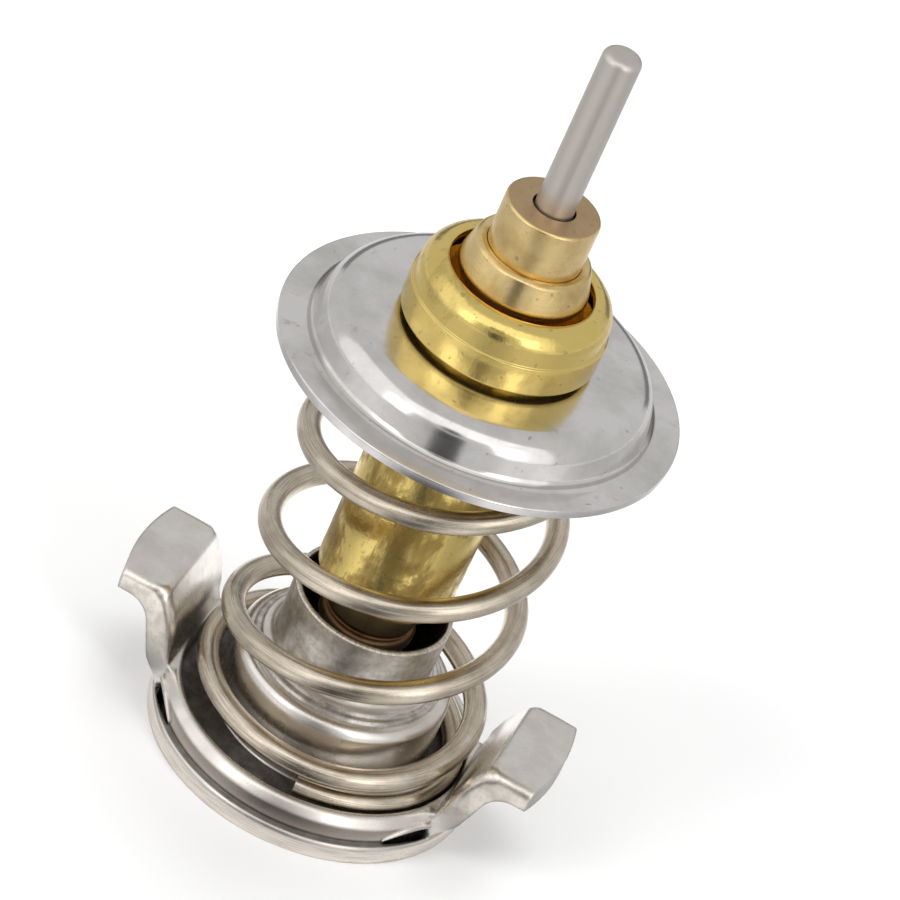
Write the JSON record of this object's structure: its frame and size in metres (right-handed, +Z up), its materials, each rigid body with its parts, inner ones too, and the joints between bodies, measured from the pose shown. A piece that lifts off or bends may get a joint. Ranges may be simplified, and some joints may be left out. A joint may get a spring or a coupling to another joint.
{
  "type": "engine thermostat insert",
  "caption": "Engine thermostat insert: a wax element with a pin, a domed valve disc, a helical spring and a stepped bracket with ears.",
  "frame": {"origin": "centre of the circular rim that the bracket stands on, at its underside", "axes": "+Z up the axis towards the pin's tip; +X through the middle of one ear"},
  "size_m": [0.0436, 0.037, 0.0793],
  "materials": {
    "bracket_steel": "satin, stamped and tumbled",
    "spring_steel": "drawn wire, warm grey",
    "disc_steel": "bright, stamped and polished",
    "cup_brass": "drawn and bright, with brown stains",
    "cap_brass": "drawn and bright",
    "guide_brass": "turned",
    "boot_rubber": "matt",
    "wiper_rubber": "matt",
    "wax": "matt",
    "washer_plastic": "smooth",
    "pin_steel": "ground and polished"
  },
  "bodies": {
    "bracket": {"lower_bracket": "bracket_steel", "main_spring": "spring_steel"},
    "element": {"valve_disc": "disc_steel", "wax_cup": "cup_brass", "wax_charge": "wax", "rubber_boot": "boot_rubber", "backup_washer": "washer_plastic", "guide_cap": "cap_brass", "piston_guide": "guide_brass", "wiper_ring": "wiper_rubber"},
    "piston": {"piston_pin": "pin_steel"}
  },
  "joints": [
    {"name": "valve_slide", "type": "slide", "parent": "bracket", "child": "element", "axis": [0, 0, -1], "range_m": [0, 0.008], "stiffness_N_per_m": 4400, "springref_m": -0.0005, "deforming": ["main_spring"]},
    {"name": "piston_slide", "type": "slide", "parent": "element", "child": "piston", "axis": [0, 0, 1], "range_m": [0, 0.008]}
  ],
  "couplings": [
    {"joint": "piston_slide", "follows": "valve_slide", "ratio": 1}
  ]
}
